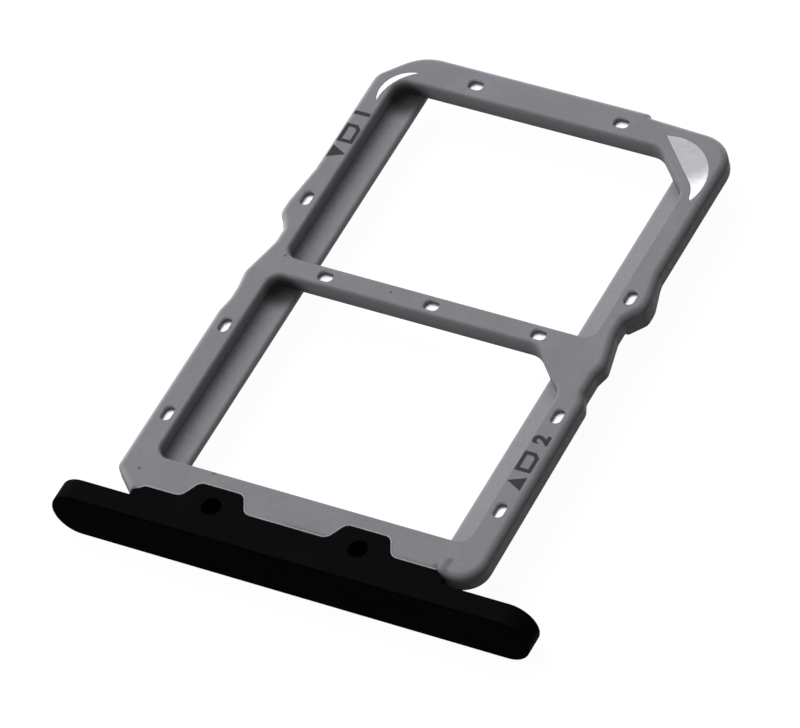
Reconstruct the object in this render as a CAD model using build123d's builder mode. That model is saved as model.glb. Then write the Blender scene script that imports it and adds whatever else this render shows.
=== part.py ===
from build123d import *

import os

# SIM card tray for two nano cards, in millimetres. It lies flat with its card side up: +X runs
# along the end cap, +Y is the way the tray slides in, +Z is up. The origin is at the bottom
# centre of the whole tray.

# Nano card and its play in the pocket
CARD_LENGTH = 12.30
CARD_WIDTH = 8.80
CARD_THICKNESS = 0.67
CARD_CUT = 1.65
CARD_PLAY = 0.15
CARD_SINK = 0.03

# Bars and rails round the two pockets, each from a pocket's wall to the outside
NEAR_BAR = 1.40
MID_BAR = 0.88
FAR_BAR = 1.43
LEFT_RAIL_NEAR = 1.13
LEFT_RAIL_SHOULDER = 1.12
LEFT_RAIL_DIP = 1.00
LEFT_RAIL_CREST = 1.10
RIGHT_RAIL_NEAR = 1.17
RIGHT_RAIL_SHOULDER = 1.065
RIGHT_RAIL_DIP = 0.87
RIGHT_RAIL_CREST = 1.02
RAIL_FAR = 0.958
NOTCH_DEPTH = 0.26
SMALL_RADIUS = 0.10

# Where the rails change, counted from the near pocket's near wall
LEFT_SHOULDER_AT = 6.80
LEFT_DIP_AT = 7.40
LEFT_DIP_LENGTH = 0.58
LEFT_CREST_AT = 8.75
RIGHT_SHOULDER_AT = 7.08
RIGHT_DIP_AT = 7.48
RIGHT_DIP_LENGTH = 0.92
RIGHT_CREST_AT = 8.92
NOTCH_AT = 10.34
NOTCH_LENGTH = 0.64
NOTCH_RAMP = 0.47
SIDE_RADIUS = 0.50
NOTCH_RADIUS = 0.25

# Side bumps that click behind springs in the phone
BUMP_HEIGHT = 0.22
BUMP_AT = 11.975
BUMP_CROWN = 0.55
BUMP_NEAR_RAMP = 0.62
LEFT_BUMP_FAR_RAMP = 1.70
RIGHT_BUMP_FAR_RAMP = 1.10
BUMP_FOOT_RAMP = 0.40
BUMP_ROOT = 0.20
BUMP_NEAR_RADIUS = 0.45
BUMP_FAR_RADIUS = 1.40

# Moulding in section
TRAY_THICKNESS = 0.95
FOOT_HEIGHT = 0.24
FOOT_INSET = 0.22
LEDGE_WIDTH = 0.97
CHANNEL_DEPTH = 0.26
POCKET_RADIUS = 0.50
CUT_RADIUS = 0.80
TOP_FILLET = 0.28
POCKET_FILLET = 0.12
LEDGE_FILLET = 0.16

# Far corners and the step in the far edge
FAR_STEP_X = 3.39
FAR_STEP = 0.16
FAR_SLOPE = 0.16
FAR_RIGHT_RADIUS = 1.36
FAR_LEFT_CUT_X = 1.28
FAR_LEFT_CUT_Y = 1.42
FAR_LEFT_SIDE_RADIUS = 0.70
FAR_LEFT_END_RADIUS = 1.80

# Near corners, where the moulding runs down beside the neck of the cap
NEAR_EDGE_LEFT = 0.30
NEAR_EDGE_RIGHT = 0.10
NEAR_LEFT_CUT_X = 1.00
NEAR_LEFT_CUT_Y = 0.90
NEAR_LEFT_RADIUS = 0.25
NEAR_RIGHT_RADIUS = 0.95

# End cap with its neck, its two tongues and the lips that the moulding runs over
CAP_LENGTH = 19.10
CAP_HEIGHT = 2.00
CAP_DEPTH = 0.91
CAP_FILLET = 0.07
TRAY_OFFSET_X = -0.40
NECK_LENGTH = 0.50
NECK_CORNER_X = 0.40
NECK_CORNER_Y = 0.30
NECK_RADIUS = 0.20
TONGUE_SPACING = 5.88
TONGUE_OFFSET_X = -0.20
TONGUE_REACH = 0.78
TONGUE_TIP_WIDTH = 1.78
TONGUE_ROOT_WIDTH = 2.58
TONGUE_RADIUS = 0.36
TONGUE_HOLE = 0.76
TONGUE_HOLE_BACK = 0.09
LIP_WIDTH = 1.10
LIP_LENGTH = 0.20
LIP_THICKNESS = 0.22
LIP_DEPTH = 0.50

# Stamped steel insert and the moulding that covers its edges
STEEL_THICKNESS = 0.20
STEEL_SKIN = 0.17
STEEL_POCKET_WALL = 0.13
STEEL_OUTER_WALL = 0.10
STEEL_FAR_WALL = 0.25
STEEL_TONGUE_WALL = 0.22
STEEL_NOTCH_RAMP = 0.30
STEEL_CORNER_CUT = 1.00
STEEL_RADIUS = 0.40

# Bare steel crescents at the far corners
LEFT_PAD_RADIUS = 1.14
LEFT_PAD_X = 0.22
LEFT_PAD_Y = -0.16
LEFT_PAD_TURN = -28
LEFT_PAD_WIDTH = 0.235
LEFT_PAD_HOLLOW = 1.76
RIGHT_PAD_RADIUS = 1.87
RIGHT_PAD_BACK = 0.53
RIGHT_PAD_WALL = 0.40
RIGHT_PAD_END = 0.14

# Small windows through the top skin to the steel: stations along the rails, places along the bars
WINDOW_LENGTH = 0.70
WINDOW_WIDTH = 0.41
BAR_WINDOW_LENGTH = 0.60
BAR_WINDOW_WIDTH = 0.48
WINDOW_RADIUS = 0.20
RAIL_WINDOW_OFFSET = 0.49
LEFT_WINDOWS = (1.84, 6.18, 12.53)
RIGHT_WINDOWS = (1.73, 6.22, 12.00)
MID_WINDOWS = (-4.29, 0.03, 4.35)
FAR_WINDOWS = (-3.31, 2.65)
FAR_WINDOW_OFFSET = 0.62

os.makedirs("parts", exist_ok=True)

# Pocket sizes, then the stations along Y and the levels that follow
pocket_length = CARD_LENGTH + CARD_PLAY
pocket_width = CARD_WIDTH + CARD_PLAY
pocket_cut = CARD_CUT + CARD_PLAY * (1 - 2**-0.5)
recess_depth = CARD_THICKNESS + CARD_SINK
overall_length = CAP_DEPTH + NECK_LENGTH + NEAR_BAR + 2 * pocket_width + MID_BAR + FAR_BAR

cap_front = -overall_length / 2
cap_back = cap_front + CAP_DEPTH
neck_end = cap_back + NECK_LENGTH
near_wall = neck_end + NEAR_BAR
mid_near = near_wall + pocket_width
mid_far = mid_near + MID_BAR
far_near = mid_far + pocket_width
far_edge = far_near + FAR_BAR
pocket_starts = (near_wall, mid_far)

top = CAP_HEIGHT
bottom = top - TRAY_THICKNESS
steel_bottom = top - STEEL_SKIN - STEEL_THICKNESS

axis_x = TRAY_OFFSET_X
half_pocket = pocket_length / 2
left_wall = axis_x - half_pocket
right_wall = axis_x + half_pocket


def rounded(corners):
    """Closed line through corners, each given as its x, its y and its rounding radius."""
    FilletPolyline(*[(x, y) for x, y, _ in corners], radius=[r for _, _, r in corners], close=True)


def pocket(start):
    """Plan of one card pocket, with the cut corner at its far right."""
    end = start + pocket_width
    rounded([
        (left_wall, start, POCKET_RADIUS),
        (left_wall, end, POCKET_RADIUS),
        (right_wall - pocket_cut, end, CUT_RADIUS),
        (right_wall, end - pocket_cut, CUT_RADIUS),
        (right_wall, start, POCKET_RADIUS),
    ])


def side(sign, *near_part):
    """Corners of one rail's outside without its bump, from the near end to the far end."""
    notch = RAIL_FAR - NOTCH_DEPTH
    profile = [
        *[(at, rail, SIDE_RADIUS) for at, rail in near_part],
        (NOTCH_AT, notch, SIDE_RADIUS),
        (NOTCH_AT + NOTCH_LENGTH, notch, NOTCH_RADIUS),
        (NOTCH_AT + NOTCH_LENGTH + NOTCH_RAMP, RAIL_FAR, NOTCH_RADIUS),
    ]
    return [(axis_x + sign * (half_pocket + rail), near_wall + at, r) for at, rail, r in profile]


def outline():
    """Plan of the whole moulding without its side bumps."""
    left_far, right_far = left_wall - RAIL_FAR, right_wall + RAIL_FAR
    left_near, right_near = left_wall - LEFT_RAIL_NEAR, right_wall + RIGHT_RAIL_NEAR
    near_left_y, near_right_y = neck_end - NEAR_EDGE_LEFT, neck_end - NEAR_EDGE_RIGHT
    step_x = axis_x + FAR_STEP_X
    left_side = side(
        -1,
        (LEFT_SHOULDER_AT, LEFT_RAIL_SHOULDER),
        (LEFT_DIP_AT, LEFT_RAIL_DIP),
        (LEFT_DIP_AT + LEFT_DIP_LENGTH, LEFT_RAIL_DIP),
        (LEFT_CREST_AT, LEFT_RAIL_CREST),
    )
    right_side = side(
        1,
        (RIGHT_SHOULDER_AT, RIGHT_RAIL_SHOULDER),
        (RIGHT_DIP_AT, RIGHT_RAIL_DIP),
        (RIGHT_DIP_AT + RIGHT_DIP_LENGTH, RIGHT_RAIL_DIP),
        (RIGHT_CREST_AT, RIGHT_RAIL_CREST),
    )
    rounded([
        (axis_x, near_left_y, 0),
        (left_near + NEAR_LEFT_CUT_X, near_left_y, SMALL_RADIUS),
        (left_near, near_left_y + NEAR_LEFT_CUT_Y, NEAR_LEFT_RADIUS),
        *left_side,
        (left_far, far_edge - FAR_LEFT_CUT_Y, FAR_LEFT_SIDE_RADIUS),
        (left_far + FAR_LEFT_CUT_X, far_edge, FAR_LEFT_END_RADIUS),
        (step_x, far_edge, SMALL_RADIUS),
        (step_x + FAR_STEP, far_edge - FAR_STEP, SMALL_RADIUS),
        (right_far, far_edge - FAR_STEP - FAR_SLOPE, FAR_RIGHT_RADIUS),
        *reversed(right_side),
        (right_near, near_right_y, NEAR_RIGHT_RADIUS),
        (axis_x, near_right_y, 0),
    ])


def bump(sign, far_ramp, inset=0):
    """Plan of one side bump, its far ramp running down to a face inset from the rail's outside."""
    edge = axis_x + sign * (half_pocket + RAIL_FAR)
    notch = edge - sign * NOTCH_DEPTH
    root = notch - sign * BUMP_ROOT
    crown = edge + sign * BUMP_HEIGHT
    crown_near = near_wall + BUMP_AT - BUMP_CROWN / 2
    crown_far = near_wall + BUMP_AT + BUMP_CROWN / 2
    rounded([
        (root, crown_near - BUMP_NEAR_RAMP, 0),
        (notch, crown_near - BUMP_NEAR_RAMP, SMALL_RADIUS),
        (crown, crown_near, BUMP_NEAR_RADIUS),
        (crown, crown_far, BUMP_FAR_RADIUS),
        (edge - sign * inset, crown_far + far_ramp, 0),
        (root, crown_far + far_ramp, 0),
    ])


def neck():
    """Plan of the neck and its two tongues, from inside the cap."""
    base = cap_front + CAP_DEPTH / 2
    corners = [
        (left_wall, base, 0),
        (left_wall, neck_end - NECK_CORNER_Y, 0),
        (left_wall + NECK_CORNER_X, neck_end, NECK_RADIUS),
    ]
    for x in tongue_centres:
        corners += [
            (x - TONGUE_ROOT_WIDTH / 2, neck_end, TONGUE_RADIUS),
            (x - TONGUE_TIP_WIDTH / 2, neck_end + TONGUE_REACH, TONGUE_RADIUS),
            (x + TONGUE_TIP_WIDTH / 2, neck_end + TONGUE_REACH, TONGUE_RADIUS),
            (x + TONGUE_ROOT_WIDTH / 2, neck_end, TONGUE_RADIUS),
        ]
    corners += [
        (right_wall - NECK_CORNER_X, neck_end, NECK_RADIUS),
        (right_wall, neck_end - NECK_CORNER_Y, 0),
        (right_wall, base, 0),
    ]
    rounded(corners)


tongue_centres = [axis_x + TONGUE_OFFSET_X + sign * TONGUE_SPACING / 2 for sign in (-1, 1)]
tongue_holes = [(x, neck_end - TONGUE_HOLE_BACK, top) for x in tongue_centres]

# End cap: a pill-shaped aluminium bar, one piece with the neck and tongues that hold the moulding
with BuildPart() as end_cap:
    with BuildSketch(Plane.XZ.offset(-cap_back)):
        with Locations((0, CAP_HEIGHT / 2)):
            SlotOverall(CAP_LENGTH, CAP_HEIGHT)
    extrude(amount=CAP_DEPTH)
    fillet(end_cap.faces().filter_by(Axis.Y).edges(), CAP_FILLET)
    with BuildSketch(Plane.XY.offset(top)):
        with BuildLine():
            neck()
        make_face()
    extrude(amount=-TRAY_THICKNESS)
    with BuildSketch(Plane.XY.offset(top - LIP_DEPTH)):
        with Locations(*[(x, neck_end + TONGUE_REACH) for x in tongue_centres]):
            RectangleRounded(LIP_WIDTH, 2 * LIP_LENGTH, LIP_LENGTH / 2)
    extrude(amount=-LIP_THICKNESS)
    with Locations(*tongue_holes):
        Hole(TONGUE_HOLE / 2, depth=TRAY_THICKNESS)
end_cap.part.label = "end_cap"


def steel_outline():
    """Plan of the stamped sheet, narrowed beside the rail notches."""
    narrowest = min(LEFT_RAIL_DIP, RIGHT_RAIL_DIP, RAIL_FAR)
    wide = half_pocket + narrowest - STEEL_OUTER_WALL
    narrow = half_pocket + RAIL_FAR - NOTCH_DEPTH - STEEL_OUTER_WALL
    start = neck_end + TONGUE_REACH + STEEL_TONGUE_WALL
    end = far_edge - FAR_STEP - FAR_SLOPE - STEEL_FAR_WALL
    notch_start = near_wall + NOTCH_AT - STEEL_NOTCH_RAMP
    notch_end = near_wall + NOTCH_AT + NOTCH_LENGTH + STEEL_NOTCH_RAMP
    waist = [
        (wide, notch_start - STEEL_NOTCH_RAMP),
        (narrow, notch_start),
        (narrow, notch_end),
        (wide, notch_end + STEEL_NOTCH_RAMP),
    ]
    rounded([
        (axis_x - wide, start, SMALL_RADIUS),
        *[(axis_x - half, y, SMALL_RADIUS) for half, y in waist],
        (axis_x - wide, end - STEEL_CORNER_CUT, STEEL_RADIUS),
        (axis_x - wide + STEEL_CORNER_CUT, end, STEEL_RADIUS),
        (axis_x + wide, end, 2 * STEEL_RADIUS),
        *[(axis_x + half, y, SMALL_RADIUS) for half, y in reversed(waist)],
        (axis_x + wide, start, SMALL_RADIUS),
    ])


def beside_pocket():
    """Region beyond the far pocket's cut corner and right wall, a fixed wall away from them."""
    corner_x = right_wall + RIGHT_PAD_WALL
    corner_y = far_near - pocket_cut + RIGHT_PAD_WALL * (2**0.5 - 1)
    reach = 2 * RIGHT_PAD_RADIUS
    rounded([
        (corner_x - reach, corner_y + reach, 0),
        (corner_x, corner_y, CUT_RADIUS + RIGHT_PAD_WALL),
        (corner_x, corner_y - reach, 0),
        (corner_x + reach, corner_y - reach, 0),
        (corner_x + reach, corner_y + reach, 0),
    ])


# Steel insert: a stamped sheet frame inside the moulding, raised to the surface at the far corners
with BuildPart() as steel_insert:
    with BuildSketch(Plane.XY.offset(steel_bottom)):
        with BuildLine():
            steel_outline()
        make_face()
        for start in pocket_starts:
            with BuildLine(mode=Mode.PRIVATE) as rim:
                pocket(start)
                offset(amount=STEEL_POCKET_WALL, kind=Kind.INTERSECTION)
            add(make_face(rim.edges(), mode=Mode.PRIVATE), mode=Mode.SUBTRACT)
    extrude(amount=STEEL_THICKNESS)

    # Left crescent: a disc round the pocket's corner, hollowed by a larger one
    with BuildSketch(Plane.XY.offset(steel_bottom)):
        corner_x, corner_y = left_wall + POCKET_RADIUS, far_near - POCKET_RADIUS
        with Locations(Location((corner_x + LEFT_PAD_X, corner_y + LEFT_PAD_Y), LEFT_PAD_TURN)):
            Circle(LEFT_PAD_RADIUS)
            with Locations((LEFT_PAD_WIDTH + LEFT_PAD_HOLLOW - LEFT_PAD_RADIUS, 0)):
                Circle(LEFT_PAD_HOLLOW, mode=Mode.SUBTRACT)
    extrude(amount=top - steel_bottom)

    # Right crescent: the part of a disc beside the pocket's cut corner, with a blunt near end
    with BuildSketch(Plane.XY.offset(steel_bottom)):
        with Locations(Location((right_wall - pocket_cut / 2, far_near - pocket_cut / 2), 45)):
            with Locations((-RIGHT_PAD_BACK, 0)):
                Circle(RIGHT_PAD_RADIUS)
            disc = 2 * RIGHT_PAD_RADIUS
            with Locations((RIGHT_PAD_END, 0)):
                Rectangle(disc, disc, align=(Align.MIN, Align.CENTER), mode=Mode.INTERSECT)
        with BuildLine():
            beside_pocket()
        make_face(mode=Mode.INTERSECT)
    extrude(amount=top - steel_bottom)
steel_insert.part.label = "steel_insert"

# Tray frame: one moulding with two stepped card pockets, moulded round the steel and the tongues
with BuildPart() as tray_frame:
    with BuildSketch(Plane.XY.offset(top)):
        with BuildLine():
            outline()
        make_face()
    extrude(amount=-(TRAY_THICKNESS - FOOT_HEIGHT))
    with BuildSketch(Plane.XY.offset(bottom)):
        with BuildLine():
            outline()
        make_face()
        offset(amount=-FOOT_INSET, kind=Kind.INTERSECTION)
    extrude(amount=FOOT_HEIGHT)
    for sign, far_ramp in ((-1, LEFT_BUMP_FAR_RAMP), (1, RIGHT_BUMP_FAR_RAMP)):
        with BuildSketch(Plane.XY.offset(top)):
            with BuildLine():
                bump(sign, far_ramp)
            make_face()
        extrude(amount=-(TRAY_THICKNESS - FOOT_HEIGHT))
        with BuildSketch(Plane.XY.offset(bottom)):
            with BuildLine():
                bump(sign, far_ramp + BUMP_FOOT_RAMP, FOOT_INSET)
            make_face()
        extrude(amount=FOOT_HEIGHT)
    fillet(tray_frame.faces().sort_by(Axis.Z)[-1].outer_wire().edges(), TOP_FILLET)

    # Card pockets, each a recess that leaves a ledge along either end of the card
    for start in pocket_starts:
        with BuildSketch(Plane.XY.offset(top)):
            with BuildLine():
                pocket(start)
            make_face()
        extrude(amount=-recess_depth, mode=Mode.SUBTRACT)
    fillet(tray_frame.faces().sort_by(Axis.Z)[-1].inner_wires().edges(), POCKET_FILLET)
    opening_length = pocket_length - 2 * LEDGE_WIDTH
    for start in pocket_starts:
        with BuildSketch(Plane.XY.offset(top)):
            with BuildLine():
                pocket(start)
            make_face()
            with Locations((axis_x, start + pocket_width / 2)):
                Rectangle(opening_length, pocket_width, mode=Mode.INTERSECT)
        extrude(amount=-TRAY_THICKNESS, mode=Mode.SUBTRACT)

    # The far half is thinner between the rails, so a shallow channel runs under both its bars
    channel_start = mid_near - pocket_cut
    with BuildSketch(Plane.XY.offset(bottom)):
        with Locations((axis_x, channel_start)):
            Rectangle(opening_length, far_edge - channel_start, align=(Align.CENTER, Align.MIN))
    extrude(amount=CHANNEL_DEPTH, mode=Mode.SUBTRACT)

    # Soft rims where the ledges end
    ledge_top = top - recess_depth
    ledge_edges = tray_frame.edges().filter_by(Axis.Y).filter_by_position(Axis.Z, ledge_top, ledge_top)
    middle = (axis_x - half_pocket + LEDGE_WIDTH / 2, axis_x + half_pocket - LEDGE_WIDTH / 2)
    fillet(ledge_edges.filter_by_position(Axis.X, *middle), LEDGE_FILLET)

    # Room for the pieces that the moulding grips, then the small windows down to the steel
    add(end_cap.part, mode=Mode.SUBTRACT)
    add(steel_insert.part, mode=Mode.SUBTRACT)
    with BuildSketch(Plane.XY.offset(top)):
        with Locations(*[(left_wall - RAIL_WINDOW_OFFSET, near_wall + at) for at in LEFT_WINDOWS]):
            RectangleRounded(WINDOW_WIDTH, WINDOW_LENGTH, WINDOW_RADIUS)
        with Locations(*[(right_wall + RAIL_WINDOW_OFFSET, near_wall + at) for at in RIGHT_WINDOWS]):
            RectangleRounded(WINDOW_WIDTH, WINDOW_LENGTH, WINDOW_RADIUS)
        with Locations(*[(axis_x + x, mid_near + MID_BAR / 2) for x in MID_WINDOWS]):
            RectangleRounded(BAR_WINDOW_LENGTH, BAR_WINDOW_WIDTH, WINDOW_RADIUS)
        with Locations(*[(axis_x + x, far_near + FAR_WINDOW_OFFSET) for x in FAR_WINDOWS]):
            RectangleRounded(BAR_WINDOW_LENGTH, BAR_WINDOW_WIDTH, WINDOW_RADIUS)
    extrude(amount=-STEEL_SKIN, mode=Mode.SUBTRACT)
    with Locations(*tongue_holes):
        Hole(TONGUE_HOLE / 2, depth=TRAY_THICKNESS)
tray_frame.part.label = "tray_frame"

for piece in (end_cap, steel_insert, tray_frame):
    export_step(piece.part, f"parts/{piece.part.label}.step")
    print(piece.part.label, round(piece.part.volume, 2), "cubic mm")
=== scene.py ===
"""Looks for a sim card tray that holds two nano cards end to end.

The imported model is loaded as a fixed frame, and its three pieces keep their own shapes. They get
the finishes of a real tray: a matt glass-filled moulding, a rolled stainless sheet that shows
through it, and a black anodised end cap. The thin trim is made here: the flash line where the
moulding meets the cap, and the dark marks beside each pocket.
"""

from __future__ import annotations

import logging
import math
from dataclasses import dataclass
from enum import Enum
from typing import Any

import bmesh
import bpy
from mathutils import Matrix, Vector

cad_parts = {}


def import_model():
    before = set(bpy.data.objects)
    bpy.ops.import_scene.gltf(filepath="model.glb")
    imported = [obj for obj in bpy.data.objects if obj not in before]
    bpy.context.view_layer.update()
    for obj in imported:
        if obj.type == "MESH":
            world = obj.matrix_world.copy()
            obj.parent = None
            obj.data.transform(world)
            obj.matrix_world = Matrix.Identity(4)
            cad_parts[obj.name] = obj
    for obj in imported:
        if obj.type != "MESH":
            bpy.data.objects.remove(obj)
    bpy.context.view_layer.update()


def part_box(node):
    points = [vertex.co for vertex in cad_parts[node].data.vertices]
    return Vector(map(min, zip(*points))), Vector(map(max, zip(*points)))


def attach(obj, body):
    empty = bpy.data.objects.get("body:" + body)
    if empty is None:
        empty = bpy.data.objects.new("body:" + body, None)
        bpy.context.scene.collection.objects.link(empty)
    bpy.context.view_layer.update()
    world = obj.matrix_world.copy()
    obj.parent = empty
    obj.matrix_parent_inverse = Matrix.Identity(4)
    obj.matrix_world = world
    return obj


LOG = logging.getLogger("card_tray")
MM = 0.001
ROOT_BODY = "root"
SURFACE_IOR = 1.5
BEVEL_SAMPLES = 6
# Blender's noise keeps mostly to this part of its range, which is spread over the whole one
NOISE_HOLLOW = 0.32
NOISE_PEAK = 0.68
NOISE_ROUGHNESS = 0.55
# A mix node has sockets of the same name for every type, so the colour ones go by number
MIX_UNDER = 6
MIX_OVER = 7
MIX_RESULT = 2


class Axis(Enum):
    """The tray's axes: X along the cap, Y into the phone, Z up out of the pockets."""

    X = "X"
    Y = "Y"
    Z = "Z"


class Node(Enum):
    """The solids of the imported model."""

    CAP = "end_cap"
    STEEL = "steel_insert"
    FRAME = "tray_frame"


class Slot(Enum):
    """The record's material slots."""

    CAP = "anodised_cap"
    STEEL = "stainless_sheet"
    MOULDING = "grey_moulding"


def linear(hex_colour: str) -> tuple[float, float, float, float]:
    """Turns an sRGB colour into the linear one that a shader socket takes.

    Args:
        hex_colour: the colour as "#RRGGBB".

    Returns:
        Red, green, blue and alpha, from 0 to 1.
    """
    parts = [int(hex_colour[i : i + 2], 16) / 255 for i in (1, 3, 5)]
    red, green, blue = (c / 12.92 if c <= 0.04045 else ((c + 0.055) / 1.055) ** 2.4 for c in parts)
    return red, green, blue, 1.0


def per_metre(size_mm: float) -> float:
    """Pattern scale, in features per metre, for a feature of that size."""
    return 1 / (size_mm * MM)


def add_node(
    tree: bpy.types.NodeTree,
    kind: str,
    settings: dict[str, Any] | None = None,
    values: dict[str | int, Any] | None = None,
    links: dict[str | int, bpy.types.NodeSocket] | None = None,
) -> bpy.types.Node:
    """Adds one node with its settings and links.

    Args:
        tree: the tree that the node goes into.
        kind: the node's type, such as "ShaderNodeTexNoise".
        settings: attributes of the node itself, such as its operation.
        values: constants of its input sockets, by name or number.
        links: other nodes' outputs that its inputs read, by name or number.

    Returns:
        The new node.
    """
    node = tree.nodes.new(kind)
    for name, value in (settings or {}).items():
        setattr(node, name, value)
    for key, value in (values or {}).items():
        node.inputs[key].default_value = value
    for key, source in (links or {}).items():
        tree.links.new(source, node.inputs[key])
    return node


def new_material(name: str) -> bpy.types.Material:
    """Starts a node material.

    Args:
        name: the material's name.

    Returns:
        The material, with an empty tree.
    """
    material = bpy.data.materials.new(name)
    material.use_nodes = True
    material.node_tree.nodes.clear()
    return material


def noise(
    tree: bpy.types.NodeTree,
    place: bpy.types.NodeSocket,
    size_mm: float,
    levels: tuple[float, float] = (0.0, 1.0),
    detail: float = 2.0,
) -> bpy.types.NodeSocket:
    """Noise of one real size, spread over a range of values.

    Args:
        tree: the material's tree.
        place: the coordinates it lies on, in metres.
        size_mm: how large its features are.
        levels: its values in the hollows and on the peaks.
        detail: how many finer layers it has.

    Returns:
        The output that carries the value.
    """
    source = add_node(
        tree,
        "ShaderNodeTexNoise",
        values={"Scale": per_metre(size_mm), "Detail": detail, "Roughness": NOISE_ROUGHNESS},
        links={"Vector": place},
    )
    spread = add_node(
        tree,
        "ShaderNodeMapRange",
        values={
            "From Min": NOISE_HOLLOW,
            "From Max": NOISE_PEAK,
            "To Min": levels[0],
            "To Max": levels[1],
        },
        links={"Value": source.outputs[0]},
    )
    return spread.outputs[0]


def layered(
    tree: bpy.types.NodeTree,
    colour: bpy.types.NodeSocket | str,
    *coats: tuple[bpy.types.NodeSocket, bpy.types.NodeSocket | str],
) -> bpy.types.NodeSocket:
    """Colour with others laid over it, each a node's output or an sRGB hex value.

    Args:
        tree: the material's tree.
        colour: the lowest colour.
        coats: for each colour over it, its share from 0 to 1 and the colour.

    Returns:
        The layered colour.
    """
    for share, coat in coats:
        node = add_node(tree, "ShaderNodeMix", {"data_type": "RGBA"}, links={0: share})
        for number, part in ((MIX_UNDER, colour), (MIX_OVER, coat)):
            if isinstance(part, str):
                node.inputs[number].default_value = linear(part)
            else:
                tree.links.new(part, node.inputs[number])
        colour = node.outputs[MIX_RESULT]
    return colour


def facing(
    tree: bpy.types.NodeTree, axis: Axis, parts: tuple[float, float], either_way: bool = False
) -> bpy.types.NodeSocket:
    """Share that grows with how far a face looks along one axis.

    Args:
        tree: the material's tree.
        axis: the axis.
        parts: the normal's part along it where the share is 0, and the one where it is 1.
        either_way: whether a face that looks the other way counts the same.

    Returns:
        The share, from 0 to 1.
    """
    normal = add_node(tree, "ShaderNodeNewGeometry").outputs["True Normal"]
    part = add_node(tree, "ShaderNodeSeparateXYZ", links={0: normal}).outputs[axis.value]
    if either_way:
        size = add_node(tree, "ShaderNodeMath", {"operation": "ABSOLUTE"}, links={0: part})
        part = size.outputs[0]
    ends = {"From Min": min(parts), "From Max": max(parts)}
    ends["To Min"], ends["To Max"] = (0.0, 1.0) if parts[1] > parts[0] else (1.0, 0.0)
    return add_node(tree, "ShaderNodeMapRange", values=ends, links={"Value": part}).outputs[0]


def beyond(
    tree: bpy.types.NodeTree, place: bpy.types.NodeSocket, axis: Axis, limit_mm: float
) -> bpy.types.NodeSocket:
    """Share that is 1 farther out than a limit along one axis and 0 everywhere else.

    Args:
        tree: the material's tree.
        place: object coordinates in metres.
        axis: the axis.
        limit_mm: the limit, below 0 for the side where the axis is negative.

    Returns:
        The share, 0 or 1.
    """
    along = add_node(tree, "ShaderNodeSeparateXYZ", links={0: place}).outputs[axis.value]
    operation = "GREATER_THAN" if limit_mm >= 0.0 else "LESS_THAN"
    farther = add_node(
        tree, "ShaderNodeMath", {"operation": operation}, {1: limit_mm * MM}, {0: along}
    )
    return farther.outputs[0]


def rising(
    tree: bpy.types.NodeTree, place: bpy.types.NodeSocket, levels_mm: tuple[float, float]
) -> bpy.types.NodeSocket:
    """Share that is 0 at a low level and 1 at a high one.

    Args:
        tree: the material's tree.
        place: object coordinates in metres.
        levels_mm: the two levels over the cap's underside.

    Returns:
        The share, from 0 to 1.
    """
    height = add_node(tree, "ShaderNodeSeparateXYZ", links={0: place}).outputs["Z"]
    low, high = levels_mm
    share = add_node(
        tree,
        "ShaderNodeMapRange",
        values={"From Min": low * MM, "From Max": high * MM},
        links={"Value": height},
    )
    return share.outputs[0]


def overlap(
    tree: bpy.types.NodeTree, share: bpy.types.NodeSocket, *others: bpy.types.NodeSocket
) -> bpy.types.NodeSocket:
    """Share where several shares overlap, which is their product.

    Args:
        tree: the material's tree.
        share: the first share.
        others: the other shares.

    Returns:
        The share, from 0 to 1.
    """
    for other in others:
        both = add_node(
            tree, "ShaderNodeMath", {"operation": "MULTIPLY"}, links={0: share, 1: other}
        )
        share = both.outputs[0]
    return share


def seen(tree: bpy.types.NodeTree) -> bpy.types.NodeSocket:
    """Share that is 1 for camera, glossy and transmission rays and 0 for the light itself.

    Args:
        tree: the tree of the floor's or the world's nodes.

    Returns:
        The share, 0 or 1.
    """
    path = add_node(tree, "ShaderNodeLightPath").outputs
    share = path["Is Camera Ray"]
    for ray in ("Is Glossy Ray", "Is Transmission Ray"):
        either = add_node(
            tree, "ShaderNodeMath", {"operation": "MAXIMUM"}, links={0: share, 1: path[ray]}
        )
        share = either.outputs[0]
    return share


def soft_edges(
    tree: bpy.types.NodeTree, radius_mm: float, height: bpy.types.NodeSocket, depth_mm: float
) -> bpy.types.NodeSocket:
    """Shading normal with broken sharp edges and a fine surface relief.

    Args:
        tree: the material's tree.
        radius_mm: how far an edge is rounded over.
        height: the relief's height, from 0 to 1.
        depth_mm: the relief's real depth.

    Returns:
        The normal for a shader.
    """
    bevel = add_node(
        tree, "ShaderNodeBevel", {"samples": BEVEL_SAMPLES}, {"Radius": radius_mm * MM}
    )
    relief = add_node(
        tree,
        "ShaderNodeBump",
        values={"Strength": 1.0, "Distance": depth_mm * MM},
        links={"Height": height, "Normal": bevel.outputs[0]},
    )
    return relief.outputs[0]


def finish_surface(
    tree: bpy.types.NodeTree,
    constants: dict[str, Any],
    links: dict[str, bpy.types.NodeSocket],
) -> None:
    """Ends a material in one shader.

    Args:
        tree: the material's tree.
        constants: the shader's own fixed values, by socket name.
        links: what varies over the surface, by socket name.
    """
    shader = add_node(tree, "ShaderNodeBsdfPrincipled", values=constants, links=links)
    add_node(tree, "ShaderNodeOutputMaterial", links={"Surface": shader.outputs[0]})


@dataclass(frozen=True)
class Speck:
    """One spot of another colour on the moulding, in millimetres.

    Its strength is the share of that colour at its middle, and a squat above 1 flattens it.
    """

    x: float
    y: float
    z: float
    radius: float
    strength: float
    squat: float = 1.0


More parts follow.
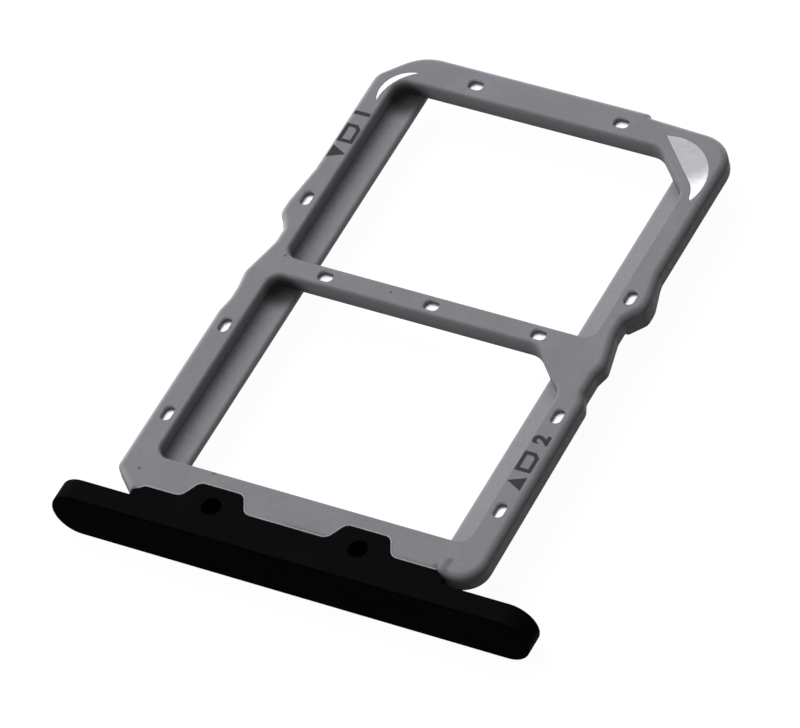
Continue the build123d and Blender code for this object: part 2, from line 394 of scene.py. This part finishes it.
@dataclass(frozen=True)
class GlassFilledMoulding:
    """Mid-grey glass-filled polymer, injection moulded in a spark-eroded tool.

    The tool gives it an even matt skin with a very fine grain. The fibres in it make faint clouds.
    Shade and light are painted onto its colour as well: painted shade darkens its walls towards
    their foot, two pocket corners and the right outer wall, and painted light brightens its
    ledges, the lips below them, its window rims, outer edges and near right corner.
    """

    # The skin all over
    base: str = "#7B7A7E"
    cloud: str = "#818087"
    cloud_mm: float = 1.9
    fibre_mm: float = 0.22
    fibre_levels: tuple[float, float] = (0.93, 1.07)
    # A real spark-eroded grain is about 0.02 mm, too fine to show, so this one is twice that
    grain_mm: float = 0.045
    grain_depth_mm: float = 0.0022
    edge_mm: float = 0.055
    roughness: tuple[float, float] = (0.52, 0.62)
    specular: float = 0.25
    # Painted light: ledges painted paler than the top, and the right-facing upright lips below
    # them painted paler too
    ledge_light: str = "#929196"
    ledge_mm: tuple[float, float] = (1.35, 1.45)
    lip_light: str = "#9C9B9E"
    # Walls with painted shade that darkens them towards their foot, and painted highlights on the
    # rims round the small windows
    wall: str = "#7E7D81"
    wall_parts: tuple[float, float] = (0.8, 0.2)
    foot_shade: str = "#383435"
    foot_mm: tuple[float, float] = (1.0, 1.75)
    rim_highlight: str = "#D0CFD4"
    rim_mm: tuple[float, float] = (1.88, 1.97)
    rim_parts: tuple[float, float] = (0.35, 0.2)
    # Painted shade on the right rail's outer wall, and painted highlights on the outer edges of
    # the left rail and far bar
    shaded_side: str = "#484644"
    side_parts: tuple[float, float] = (0.5, 0.9)
    outer_mm: float = 6.2
    edge: str = "#B4B3B7"
    highlight_parts: tuple[float, float] = (0.2, 0.8)
    upper_parts: tuple[float, float] = (0.2, 0.5)
    far_mm: float = 10.3
    # Flecks in the skin, then a smudge at the near right corner, then painted shade in the far
    # left corners of the two pockets
    fleck_and_corner_shade: str = "#231F1E"
    flecks_and_corner_shade: tuple[Speck, ...] = (
        Speck(-6.855, -9.465, 2.0, 0.085, 0.7),
        Speck(-6.80, -9.40, 2.0, 0.05, 0.5),
        Speck(-4.155, -8.80, 2.0, 0.075, 0.75),
        Speck(-4.20, -8.86, 2.0, 0.05, 0.5),
        Speck(-6.566, 1.085, 2.0, 0.075, 0.75),
        Speck(-6.54, 1.16, 2.0, 0.05, 0.5),
        Speck(-2.056, 0.76, 2.0, 0.07, 0.8),
        Speck(5.675, -9.58, 2.0, 0.17, 0.46),
        Speck(5.65, -9.70, 2.0, 0.20, 0.42),
        Speck(5.65, -9.86, 2.0, 0.21, 0.38),
        Speck(5.67, -10.02, 2.0, 0.20, 0.32),
        Speck(5.30, -9.96, 2.0, 0.14, 0.46),
        # Painted shade in the far left corners of the two pockets
        Speck(-6.25, 0.10, 1.4, 1.15, 0.9, squat=1.9),
        Speck(-6.25, 9.80, 1.4, 1.15, 0.9, squat=1.9),
    )
    # The underside has none of them
    fleck_parts: tuple[float, float] = (-0.8, -0.4)
    # Painted light: the near right corner, painted paler and warmer than the rest
    worn_and_painted_light: str = "#918B84"
    painted_light_spots: tuple[Speck, ...] = (Speck(6.10, -10.2, 1.3, 1.5, 0.9, squat=2.2),)
    # Share of a spot's radius that has its full strength
    core: float = 0.35

    def material(self) -> bpy.types.Material:
        """Builds the material.

        Returns:
            The moulding's material.
        """
        material = new_material("Glass-filled moulding")
        tree = material.node_tree
        place = add_node(tree, "ShaderNodeTexCoord").outputs["Object"]
        clouds = noise(tree, place, self.cloud_mm, detail=3.0)
        fibres = noise(tree, place, self.fibre_mm, self.fibre_levels, detail=4.0)
        # Painted light: 1 below the ledge level, where the ledges and the right-facing lips are
        # painted paler
        high = rising(tree, place, self.ledge_mm)
        low = add_node(tree, "ShaderNodeMath", {"operation": "SUBTRACT"}, {0: 1.0}, {1: high})
        right = facing(tree, Axis.X, self.side_parts)
        wall = layered(
            tree,
            # Painted shade at the walls' foot, fading up into the wall colour
            self.foot_shade,
            (rising(tree, place, self.foot_mm), self.wall),
            # Painted highlights on the window rims
            (self._rim_highlights(tree, place), self.rim_highlight),
            # Painted light on the right-facing lips below the ledge level
            (overlap(tree, right, low.outputs[0]), self.lip_light),
            # Painted shade on the right rail's outer wall
            (overlap(tree, right, beyond(tree, place, Axis.X, self.outer_mm)), self.shaded_side),
        )
        flecks_and_corner_shade = self._spots(tree, place, self.flecks_and_corner_shade)
        colour = layered(
            tree,
            self.base,
            (clouds, self.cloud),
            # Painted light on the ledges
            (low.outputs[0], self.ledge_light),
            # Walls, with their painted shade and painted highlights
            (facing(tree, Axis.Z, self.wall_parts, either_way=True), wall),
            # Painted highlights on the outer edges of the far bar and left rail
            (self._lit_outer_edge(tree, place, Axis.Y, self.far_mm), self.edge),
            (self._lit_outer_edge(tree, place, Axis.X, -self.outer_mm), self.edge),
            # Painted light on the near right corner
            (self._spots(tree, place, self.painted_light_spots), self.worn_and_painted_light),
            # Flecks, with painted shade in two pocket corners
            (overlap(tree, flecks_and_corner_shade, facing(tree, Axis.Z, self.fleck_parts)), self.fleck_and_corner_shade),
        )
        shade = add_node(tree, "ShaderNodeVectorMath", {"operation": "SCALE"}, links={0: colour})
        tree.links.new(fibres, shade.inputs["Scale"])
        grain = noise(tree, place, self.grain_mm)
        finish_surface(
            tree,
            {"IOR": SURFACE_IOR, "Specular IOR Level": self.specular},
            {
                "Base Color": shade.outputs[0],
                "Roughness": noise(tree, place, self.fibre_mm, self.roughness),
                "Normal": soft_edges(tree, self.edge_mm, grain, self.grain_depth_mm),
            },
        )
        return material

    def _rim_highlights(
        self, tree: bpy.types.NodeTree, place: bpy.types.NodeSocket
    ) -> bpy.types.NodeSocket:
        """Share that is 1 just under the top of the upright walls of the small windows, where
        highlights are painted.

        Args:
            tree: the material's tree.
            place: object coordinates in metres.

        Returns:
            The share, from 0 to 1.
        """
        upright = facing(tree, Axis.Z, self.rim_parts, either_way=True)
        return overlap(tree, rising(tree, place, self.rim_mm), upright)

    def _lit_outer_edge(
        self,
        tree: bpy.types.NodeTree,
        place: bpy.types.NodeSocket,
        axis: Axis,
        limit_mm: float,
    ) -> bpy.types.NodeSocket:
        """Share that grows down the rounded edge of the tray's outside on one side, where a
        highlight is painted.

        Args:
            tree: the material's tree.
            place: object coordinates in metres.
            axis: the axis that the side looks along.
            limit_mm: where the side begins, below 0 where it looks the negative way.

        Returns:
            The share, from 0 to 1.
        """
        start, end = (math.copysign(part, limit_mm) for part in self.highlight_parts)
        return overlap(
            tree,
            facing(tree, axis, (start, end)),
            facing(tree, Axis.Z, self.upper_parts),
            beyond(tree, place, axis, limit_mm),
        )

    def _spots(
        self, tree: bpy.types.NodeTree, place: bpy.types.NodeSocket, spots: tuple[Speck, ...]
    ) -> bpy.types.NodeSocket:
        """Share of another colour at the given spots.

        Args:
            tree: the material's tree.
            place: object coordinates in metres.
            spots: the spots.

        Returns:
            The share, from 0 to 1.
        """
        share = None
        for spot in spots:
            squashed = add_node(
                tree,
                "ShaderNodeVectorMath",
                {"operation": "MULTIPLY"},
                {1: (1.0, 1.0, spot.squat)},
                {0: place},
            )
            gap = add_node(
                tree,
                "ShaderNodeVectorMath",
                {"operation": "DISTANCE"},
                {1: (spot.x * MM, spot.y * MM, spot.z * spot.squat * MM)},
                {0: squashed.outputs[0]},
            )
            here = add_node(
                tree,
                "ShaderNodeMapRange",
                {"interpolation_type": "SMOOTHSTEP"},
                {
                    "From Min": self.core * spot.radius * MM,
                    "From Max": spot.radius * MM,
                    "To Min": spot.strength,
                    "To Max": 0.0,
                },
                {"Value": gap.outputs["Value"]},
            ).outputs[0]
            if share is None:
                share = here
            else:
                share = add_node(
                    tree, "ShaderNodeMath", {"operation": "MAXIMUM"}, links={0: share, 1: here}
                ).outputs[0]
        return share


@dataclass(frozen=True)
class RolledStainless:
    """Stainless spring sheet, cold rolled bright and stamped.

    Rolling leaves a bright, slightly blurred mirror with fine lines along the sheet.
    """

    base: str = "#B2B1B6"
    shade: str = "#AAA9AE"
    patch_mm: float = 0.30
    line_mm: float = 0.06
    line_stretch: float = 0.06
    line_depth_mm: float = 0.0003
    edge_mm: float = 0.02
    roughness: tuple[float, float] = (0.29, 0.33)
    # The raised right pad rolls off, so it tilts round this point until the tilt has faded out
    pad_middle: tuple[float, float, float] = (4.70, 10.50, 2.0)
    pad_fade: tuple[float, float] = (1.30, 3.15)
    pad_fall: tuple[float, float, float] = (1.0, 0.05, 0.0)
    pad_tilt: float = 0.42
    pad_level: float = 1.95

    def material(self) -> bpy.types.Material:
        """Builds the material.

        Returns:
            The steel's material.
        """
        material = new_material("Rolled stainless sheet")
        tree = material.node_tree
        place = add_node(tree, "ShaderNodeTexCoord").outputs["Object"]
        stretched = add_node(
            tree,
            "ShaderNodeMapping",
            values={"Scale": (1.0, self.line_stretch, 1.0)},
            links={"Vector": place},
        )
        lines = noise(tree, stretched.outputs[0], self.line_mm)
        patches = noise(tree, place, self.patch_mm, detail=1.0)
        normal = soft_edges(tree, self.edge_mm, lines, self.line_depth_mm)
        finish_surface(
            tree,
            {"Metallic": 1.0},
            {
                "Base Color": layered(tree, self.shade, (patches, self.base)),
                "Roughness": noise(tree, stretched.outputs[0], self.line_mm, self.roughness),
                "Normal": self._rolled_off(tree, self._far_pad(tree, place), normal),
            },
        )
        return material

    def _far_pad(
        self, tree: bpy.types.NodeTree, place: bpy.types.NodeSocket
    ) -> bpy.types.NodeSocket:
        """Share that is 1 on the raised right pad and fades out towards its near end.

        Args:
            tree: the material's tree.
            place: object coordinates in metres.

        Returns:
            The share, from 0 to 1.
        """
        away = add_node(
            tree,
            "ShaderNodeVectorMath",
            {"operation": "DISTANCE"},
            {1: tuple(c * MM for c in self.pad_middle)},
            {0: place},
        )
        low, high = self.pad_fade
        fading = add_node(
            tree,
            "ShaderNodeMapRange",
            {"interpolation_type": "SMOOTHSTEP"},
            {"From Min": low * MM, "From Max": high * MM, "To Min": 1.0, "To Max": 0.0},
            {"Value": away.outputs["Value"]},
        )
        return overlap(
            tree,
            fading.outputs[0],
            beyond(tree, place, Axis.X, 0.0),
            beyond(tree, place, Axis.Z, self.pad_level),
        )

    def _rolled_off(
        self,
        tree: bpy.types.NodeTree,
        share: bpy.types.NodeSocket,
        normal: bpy.types.NodeSocket,
    ) -> bpy.types.NodeSocket:
        """Tilts the surface a little, as the right pad rolls off towards its far end.

        Args:
            tree: the material's tree.
            share: how much of the tilt there is, from 0 to 1.
            normal: the normal of the level sheet.

        Returns:
            The tilted normal.
        """
        fall = tuple(c * self.pad_tilt for c in self.pad_fall)
        lean = add_node(
            tree, "ShaderNodeVectorMath", {"operation": "SCALE"}, {0: fall}, {"Scale": share}
        )
        total = add_node(tree, "ShaderNodeVectorMath", links={0: normal, 1: lean.outputs[0]})
        unit = add_node(
            tree, "ShaderNodeVectorMath", {"operation": "NORMALIZE"}, links={0: total.outputs[0]}
        )
        return unit.outputs[0]


@dataclass(frozen=True)
class BlackAnodised:
    """Aluminium, bead blasted and then anodised deep black.

    Blasting leaves a fine satin grain, so highlights spread out and stay dim on the black dye.
    """

    base: str = "#0C0C0D"
    worn_and_painted_light: str = "#0F0F11"
    # Painted shade: the outer face, which is seen on the phone, painted darker than the top
    front_shade: str = "#030304"
    grain_mm: float = 0.05
    grain_depth_mm: float = 0.0016
    cloud_mm: float = 2.4
    edge_mm: float = 0.004
    front_parts: tuple[float, float] = (-0.3, -0.9)
    roughness: tuple[float, float] = (0.44, 0.54)
    specular: float = 0.002

    def material(self) -> bpy.types.Material:
        """Builds the material.

        Returns:
            The cap's material.
        """
        material = new_material("Black anodised aluminium")
        tree = material.node_tree
        place = add_node(tree, "ShaderNodeTexCoord").outputs["Object"]
        clouds = noise(tree, place, self.cloud_mm, detail=3.0)
        grain = noise(tree, place, self.grain_mm)
        front_shade = facing(tree, Axis.Y, self.front_parts)
        finish_surface(
            tree,
            {"IOR": SURFACE_IOR, "Specular IOR Level": self.specular},
            {
                "Base Color": layered(tree, self.base, (clouds, self.worn_and_painted_light), (front_shade, self.front_shade)),
                "Roughness": noise(tree, place, self.cloud_mm, self.roughness),
                "Normal": soft_edges(tree, self.edge_mm, grain, self.grain_depth_mm),
            },
        )
        return material


@dataclass(frozen=True)
class LaserMark:
    """Moulding darkened by a marking laser.

    The beam foams and blackens the skin, so a mark is matt, nearly black and slightly uneven.
    """

    base: str = "#29292B"
    pale: str = "#373639"
    patch_mm: float = 0.09
    patch_depth_mm: float = 0.002
    edge_mm: float = 0.01
    roughness: tuple[float, float] = (0.66, 0.8)
    specular: float = 0.2

    def material(self) -> bpy.types.Material:
        """Builds the material.

        Returns:
            The marks' material.
        """
        material = new_material("Laser mark")
        tree = material.node_tree
        place = add_node(tree, "ShaderNodeTexCoord").outputs["Object"]
        patches = noise(tree, place, self.patch_mm, detail=3.0)
        finish_surface(
            tree,
            {"IOR": SURFACE_IOR, "Specular IOR Level": self.specular},
            {
                "Base Color": layered(tree, self.base, (patches, self.pale)),
                "Roughness": noise(tree, place, self.patch_mm, self.roughness),
                "Normal": soft_edges(tree, self.edge_mm, patches, self.patch_depth_mm),
            },
        )
        return material


@dataclass(frozen=True)
class FlashSkin:
    """The moulding's thin flash, squeezed out along the cap.

    The bead is painted paler than the rest of the moulding, as a painted highlight along the
    border.
    """

    base: str = "#8C8B8F"
    pale: str = "#A5A4A8"
    patch_mm: float = 0.4
    roughness: tuple[float, float] = (0.35, 0.5)
    specular: float = 0.5

    def material(self) -> bpy.types.Material:
        """Builds the material.

        Returns:
            The flash line's material.
        """
        material = new_material("Moulding flash")
        tree = material.node_tree
        place = add_node(tree, "ShaderNodeTexCoord").outputs["Object"]
        patches = noise(tree, place, self.patch_mm)
        finish_surface(
            tree,
            {"IOR": SURFACE_IOR, "Specular IOR Level": self.specular},
            {
                "Base Color": layered(tree, self.base, (patches, self.pale)),
                "Roughness": noise(tree, place, self.patch_mm, self.roughness),
            },
        )
        return material


def keep_piece(obj: bpy.types.Object, material: bpy.types.Material) -> None:
    """Dresses a new piece and makes it ride on the tray.

    Args:
        obj: the piece, with its place in its mesh.
        material: what it is made of.
    """
    obj.data.materials.clear()
    obj.data.materials.append(material)
    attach(obj, ROOT_BODY)
    LOG.info("made %s with %d faces", obj.name, len(obj.data.polygons))


def dress(node: Node, material: bpy.types.Material) -> None:
    """Gives a CAD piece its real finish.

    Args:
        node: the solid to dress.
        material: its material.
    """
    obj = bpy.data.objects[node.value]
    for socket in obj.material_slots:
        socket.material = material
    LOG.info("dressed %s in %s", obj.name, material.name)


def object_of(name: str, data: bpy.types.ID) -> bpy.types.Object:
    """Puts a new object into the scene.

    Args:
        name: the object's name.
        data: its mesh, text, lamp or camera.

    Returns:
        The object.
    """
    obj = bpy.data.objects.new(name, data)
    bpy.context.scene.collection.objects.link(obj)
    return obj


def plain_mesh(obj: bpy.types.Object, name: str) -> bpy.types.Mesh:
    """Keeps what an object looks like as a plain mesh, and removes the object.

    Args:
        obj: a text object, or a mesh with live modifiers.
        name: the new mesh's name.

    Returns:
        The plain mesh.
    """
    bpy.context.view_layer.update()
    graph = bpy.context.evaluated_depsgraph_get()
    mesh = bpy.data.meshes.new_from_object(obj.evaluated_get(graph), depsgraph=graph)
    mesh.name = name
    bpy.data.objects.remove(obj)
    return mesh


@dataclass
class FlashLine:
    """The thin line of flash along the border between the moulding and the cap."""

    radius_mm: float = 0.028
    sides: int = 8
    sunk_mm: float = 0.006
    reach_past_tongues_mm: float = 0.1
    # Past the middle the moulding's rounded rim drops by this much, and the line stays at the top
    drop_mm: float = 0.07
    # Each of its edges joins a level face to an upright one, told by the normal's part along Z
    flat_limit: float = 0.6
    upright_limit: float = 0.3
    merge_mm: float = 0.0005

    def border(self) -> bpy.types.Mesh:
        """Finds the moulding's top edge along the cap.

        Returns:
            A mesh of that edge alone.
        """
        frame_mesh = bpy.data.objects[Node.FRAME.value].data
        cap_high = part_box(Node.CAP.value)[1]
        work = bmesh.new()
        work.from_mesh(frame_mesh)
        bmesh.ops.remove_doubles(work, verts=work.verts, dist=self.merge_mm * MM)
        limit = cap_high.y + self.reach_past_tongues_mm * MM
        middle = cap_high.z - self.sunk_mm * MM
        kept = []
        for edge in work.edges:
            level = all(v.co.z > cap_high.z - self.drop_mm * MM for v in edge.verts)
            near = all(v.co.y < limit for v in edge.verts)
            if level and near and len(edge.link_faces) == 2:
                lifts = sorted(abs(face.normal.z) for face in edge.link_faces)
                if lifts[1] > self.flat_limit and lifts[0] < self.upright_limit:
                    kept.append([(v.co.x, v.co.y, middle) for v in edge.verts])
        work.free()
        line = bmesh.new()
        for start, end in kept:
            line.edges.new((line.verts.new(start), line.verts.new(end)))
        bmesh.ops.remove_doubles(line, verts=line.verts, dist=self.merge_mm * MM)
        mesh = bpy.data.meshes.new("flash_border")
        line.to_mesh(mesh)
        line.free()
        return mesh

    def tree(self, material: bpy.types.Material) -> bpy.types.GeometryNodeTree:
        """Builds the node tree that turns a line into a bead.

        Args:
            material: what the bead is made of.

        Returns:
            The tree, with inputs named Radius and Sides.
        """
        tree = bpy.data.node_groups.new("Bead along a line", "GeometryNodeTree")
        sockets = (
            ("Line", "INPUT", "NodeSocketGeometry"),
            ("Radius", "INPUT", "NodeSocketFloat"),
            ("Sides", "INPUT", "NodeSocketInt"),
            ("Bead", "OUTPUT", "NodeSocketGeometry"),
        )
        for name, way, kind in sockets:
            tree.interface.new_socket(name=name, in_out=way, socket_type=kind)
        inputs = add_node(tree, "NodeGroupInput").outputs
        path = add_node(tree, "GeometryNodeMeshToCurve", links={"Mesh": inputs["Line"]})
        ring = add_node(
            tree,
            "GeometryNodeCurvePrimitiveCircle",
            links={"Radius": inputs["Radius"], "Resolution": inputs["Sides"]},
        )
        tube = add_node(
            tree,
            "GeometryNodeCurveToMesh",
            values={"Fill Caps": True},
            links={"Curve": path.outputs[0], "Profile Curve": ring.outputs[0]},
        )
        smooth = add_node(tree, "GeometryNodeSetShadeSmooth", links={0: tube.outputs[0]})
        real = add_node(tree, "GeometryNodeRealizeInstances", links={0: smooth.outputs[0]})
        dressed = add_node(
            tree,
            "GeometryNodeSetMaterial",
            values={"Material": material},
            links={0: real.outputs[0]},
        )
        add_node(tree, "NodeGroupOutput", links={0: dressed.outputs[0]})
        return tree

    def build(self, material: bpy.types.Material) -> None:
        """Makes the line as one piece.

        Args:
            material: what the bead is made of.
        """
        source = object_of("flash_source", self.border())
        tree = self.tree(material)
        modifier = source.modifiers.new("Bead", "NODES")
        modifier.node_group = tree
        sizes = {"Radius": self.radius_mm * MM, "Sides": self.sides}
        for item in tree.interface.items_tree:
            if item.name in sizes:
                modifier[item.identifier] = sizes[item.name]
        piece = object_of("flash_line", plain_mesh(source, "flash_line"))
        keep_piece(piece, material)


@dataclass
class PocketMark:
    """The mark beside one pocket, in millimetres: an arrow, a card outline and a number."""

    name: str
    number: str
    x_low: float
    x_high: float
    arrow: tuple[float, float]
    card: tuple[float, float]
    numeral: tuple[float, float]
    arrow_to_right: bool
    stroke: float = 0.15
    # The card's cut corner is this share of the mark's width
    cut_share: float = 0.3
    # The number's strokes are thickened by this share of its size, in curves of so many steps
    weight: float = 0.05
    curve_steps: int = 6
    proud: float = 0.005
    sunk: float = 0.02
    merge_mm: float = 0.0005

    def plate(self, mesh: bmesh.types.BMesh, loops: list[list[tuple[float, float]]]) -> None:
        """Adds one thin plate, with a hole where a second loop is given.

        Args:
            mesh: the mesh that it goes into.
            loops: its outline, then its hole with as many corners.
        """
        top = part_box(Node.FRAME.value)[1].z / MM
        rings = []
        for height in (top + self.proud, top - self.sunk):
            for loop in loops:
                rings.append([mesh.verts.new((x * MM, y * MM, height * MM)) for x, y in loop])
        count = len(loops[0])
        if len(loops) == 1:
            mesh.faces.new(rings[0])
            mesh.faces.new(reversed(rings[1]))
            pairs = [(rings[0], rings[1])]
        else:
            outer_top, inner_top, outer_low, inner_low = rings
            pairs = [
                (inner_top, outer_top),
                (outer_top, outer_low),
                (outer_low, inner_low),
                (inner_low, inner_top),
            ]
        for first, second in pairs:
            for i in range(count):
                j = (i + 1) % count
                mesh.faces.new((first[i], first[j], second[j], second[i]))

    def arrow_loop(self) -> list[tuple[float, float]]:
        """Places the arrow, whose tip points into the pocket.

        Returns:
            Its corners.
        """
        near, far = self.arrow
        tip, back = (self.x_high, self.x_low) if self.arrow_to_right else (self.x_low, self.x_high)
        return [(tip, (near + far) / 2), (back, far), (back, near)]

    def card_loops(self) -> list[list[tuple[float, float]]]:
        """Places the card outline with its one cut corner.

        Returns:
            The corners of its outside, then those of its hole.
        """
        loops = []
        near, far = self.card
        for inset in (0.0, self.stroke):
            # The slanted stroke is as wide as the others when the cut shrinks by this much
            cut = self.cut_share * (self.x_high - self.x_low) - inset * (2 - math.sqrt(2))
            left, right = self.x_low + inset, self.x_high - inset
            low, high = near + inset, far - inset
            loop = [(left, low), (right, low), (right, high - cut), (right - cut, high)]
            loops.append([*loop, (left, high)])
        return loops

    def numeral_mesh(self) -> bpy.types.Mesh:
        """Makes the number as a mesh in its place, reading away from the cap.

        Returns:
            The number's mesh.
        """
        letters = bpy.data.curves.new(f"{self.name}_text", "FONT")
        letters.body = self.number
        # Half a unit either way makes it one unit thick, which the scale below makes the real size
        letters.extrude = 0.5
        letters.offset = self.weight
        letters.resolution_u = self.curve_steps
        mesh = plain_mesh(object_of(f"{self.name}_text", letters), f"{self.name}_number")
        points = [v.co for v in mesh.vertices]
        low = Vector(min(p[i] for p in points) for i in range(3))
        high = Vector(max(p[i] for p in points) for i in range(3))
        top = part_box(Node.FRAME.value)[1].z / MM
        near, far = self.numeral
        tall = (self.x_high - self.x_low) / (high.y - low.y)
        wide = min(tall, (far - near) / (high.x - low.x))
        thick = self.proud + self.sunk
        middle = ((self.x_low + self.x_high) / 2, (near + far) / 2, top + self.proud - thick / 2)
        place = (
            Matrix.Scale(MM, 4)
            @ Matrix.Translation(middle)
            @ Matrix.Rotation(math.radians(90), 4, "Z")
            @ Matrix.Diagonal((wide, tall, thick, 1.0))
            @ Matrix.Translation(-(low + high) / 2)
        )
        mesh.transform(place)
        return mesh

    def build(self, material: bpy.types.Material) -> None:
        """Makes the mark as one piece.

        Args:
            material: what it is marked with.
        """
        work = bmesh.new()
        work.from_mesh(self.numeral_mesh())
        self.plate(work, [self.arrow_loop()])
        self.plate(work, self.card_loops())
        bmesh.ops.remove_doubles(work, verts=work.verts, dist=self.merge_mm * MM)
        bmesh.ops.recalc_face_normals(work, faces=work.faces)
        mesh = bpy.data.meshes.new(self.name)
        work.to_mesh(mesh)
        work.free()
        keep_piece(object_of(self.name, mesh), material)


@dataclass
class TrayFrame:
    """The moulding with its two pockets, its flash line and its pocket marks."""

    finish: GlassFilledMoulding = GlassFilledMoulding()
    flash_finish: FlashSkin = FlashSkin()
    mark_finish: LaserMark = LaserMark()

    def marks(self) -> list[PocketMark]:
        """Places the marks.

        Returns:
            The far pocket's on the left rail, and the near pocket's on the right one.
        """
        return [
            PocketMark(
                name="far_pocket_mark",
                number="1",
                x_low=-7.40,
                x_high=-6.76,
                arrow=(5.85, 6.45),
                card=(6.66, 7.56),
                numeral=(7.92, 8.32),
                arrow_to_right=True,
            ),
            PocketMark(
                name="near_pocket_mark",
                number="2",
                x_low=5.94,
                x_high=6.58,
                arrow=(-5.98, -5.37),
                card=(-5.16, -4.26),
                numeral=(-3.92, -3.38),
                arrow_to_right=False,
            ),
        ]

    def build(self) -> None:
        """Dresses the moulding and adds its trim."""
        dress(Node.FRAME, self.finish.material())
        FlashLine().build(self.flash_finish.material())
        ink = self.mark_finish.material()
        for mark in self.marks():
            mark.build(ink)


@dataclass
class SteelInsert:
    """The sheet in the moulding, bare in its windows and at the far corners."""

    finish: RolledStainless = RolledStainless()

    def build(self) -> None:
        """Dresses the sheet."""
        dress(Node.STEEL, self.finish.material())


@dataclass
class EndCap:
    """The bar that closes the slot, with its neck and tongues."""

    finish: BlackAnodised = BlackAnodised()

    def build(self) -> None:
        """Dresses the cap."""
        dress(Node.CAP, self.finish.material())


@dataclass(frozen=True)
class Softbox:
    """One square area lamp, aimed at the tray's middle, with its sizes in metres."""

    name: str
    direction: tuple[float, float, float]
    distance: float
    size: float
    watts: float

    def build(self) -> None:
        """Makes the lamp."""
        lamp = bpy.data.lights.new(self.name, "AREA")
        lamp.shape = "SQUARE"
        lamp.size = self.size
        lamp.energy = self.watts
        obj = object_of(self.name, lamp)
        away = Vector(self.direction).normalized()
        obj.location = away * self.distance
        obj.rotation_euler = away.to_track_quat("Z", "Y").to_euler()
        LOG.info("lamp %s", self.name)


@dataclass
class Studio:
    """A plain pale floor, white to the camera, under one large softbox from behind on the left."""

    # In metres, from the middle to an edge
    floor_half: float = 1.5
    floor_bounce: str = "#767676"
    floor_seen: str = "#545454"
    floor_glow: float = 0.95
    # The world's strength at the middle, and how much it gains along each axis
    sky: float = 0.34
    sky_lean: tuple[float, float, float] = (-0.30, -0.14, 0.0)
    key: Softbox = Softbox(
        name="key", direction=(-0.62, 0.40, 0.68), distance=0.6, size=0.90, watts=4.75
    )

    def floor_material(self) -> bpy.types.Material:
        """White where it is seen, with the tray's faint shadow, and pale grey as a reflector.

        Returns:
            The floor's material.
        """
        material = new_material("Pale floor")
        tree = material.node_tree
        bounce = add_node(
            tree, "ShaderNodeBsdfDiffuse", values={"Color": linear(self.floor_bounce)}
        )
        lit = add_node(tree, "ShaderNodeBsdfDiffuse", values={"Color": linear(self.floor_seen)})
        glow = add_node(tree, "ShaderNodeEmission", values={"Strength": self.floor_glow})
        white = add_node(
            tree, "ShaderNodeAddShader", links={0: lit.outputs[0], 1: glow.outputs[0]}
        )
        mix = add_node(
            tree,
            "ShaderNodeMixShader",
            links={0: seen(tree), 1: bounce.outputs[0], 2: white.outputs[0]},
        )
        add_node(tree, "ShaderNodeOutputMaterial", links={"Surface": mix.outputs[0]})
        material.cycles.emission_sampling = "NONE"
        return material

    def build(self) -> None:
        """Makes the floor, the world and the lamp."""
        half = self.floor_half
        mesh = bpy.data.meshes.new("floor")
        square = [(-half, -half, 0), (half, -half, 0), (half, half, 0), (-half, half, 0)]
        mesh.from_pydata(square, [], [(0, 1, 2, 3)])
        mesh.materials.append(self.floor_material())
        object_of("floor", mesh)
        world = bpy.data.worlds.new("Studio")
        world.use_nodes = True
        tree = world.node_tree
        tree.nodes.clear()
        heading = add_node(tree, "ShaderNodeTexCoord").outputs["Generated"]
        lean = add_node(
            tree,
            "ShaderNodeVectorMath",
            {"operation": "DOT_PRODUCT"},
            {1: self.sky_lean},
            {0: heading},
        )
        light = add_node(
            tree, "ShaderNodeMath", values={1: self.sky}, links={0: lean.outputs["Value"]}
        )
        strength = add_node(
            tree,
            "ShaderNodeMapRange",
            values={"To Max": 1.0},
            links={"Value": seen(tree), "To Min": light.outputs[0]},
        )
        sky = add_node(
            tree,
            "ShaderNodeBackground",
            values={"Color": (1.0, 1.0, 1.0, 1.0)},
            links={"Strength": strength.outputs[0]},
        )
        add_node(tree, "ShaderNodeOutputWorld", links={"Surface": sky.outputs[0]})
        world.cycles.sampling_method = "NONE"
        bpy.context.scene.world = world
        bpy.context.scene.view_settings.view_transform = "Standard"
        self.key.build()


@dataclass
class PhotoCamera:
    """A long lens that looks down on the tray from the right of its cap."""

    target_mm: tuple[float, float, float] = (-0.744, -1.436, 1.0)
    distance_mm: float = 300.99
    azimuth: float = 39.034
    elevation: float = 47.629
    roll: float = -15.407
    lens_mm: float = 382.5
    sensor_mm: float = 36.0
    near_mm: float = 10.0

    def build(self) -> None:
        """Makes the camera and gives it to the scene."""
        data = bpy.data.cameras.new("camera")
        data.lens = self.lens_mm
        data.sensor_width = self.sensor_mm
        data.sensor_fit = "HORIZONTAL"
        data.clip_start = self.near_mm * MM
        around, above = math.radians(self.azimuth), math.radians(self.elevation)
        back = Vector(
            (
                math.sin(around) * math.cos(above),
                -math.cos(around) * math.cos(above),
                math.sin(above),
            )
        )
        place = (Vector(self.target_mm) + back * self.distance_mm) * MM
        camera = object_of("camera", data)
        camera.matrix_world = (
            Matrix.Translation(place)
            @ back.to_track_quat("Z", "Y").to_matrix().to_4x4()
            @ Matrix.Rotation(math.radians(self.roll), 4, "Z")
        )
        bpy.context.scene.camera = camera
        LOG.info("camera at azimuth %.1f and elevation %.1f", self.azimuth, self.elevation)


def main() -> None:
    """Loads the frame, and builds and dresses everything."""
    logging.basicConfig(level=logging.INFO, format="%(name)s: %(message)s")
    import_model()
    PhotoCamera().build()
    Studio().build()
    for assembly in (TrayFrame(), SteelInsert(), EndCap()):
        assembly.build()
    bpy.context.view_layer.update()


if __name__ == "__main__":
    main()
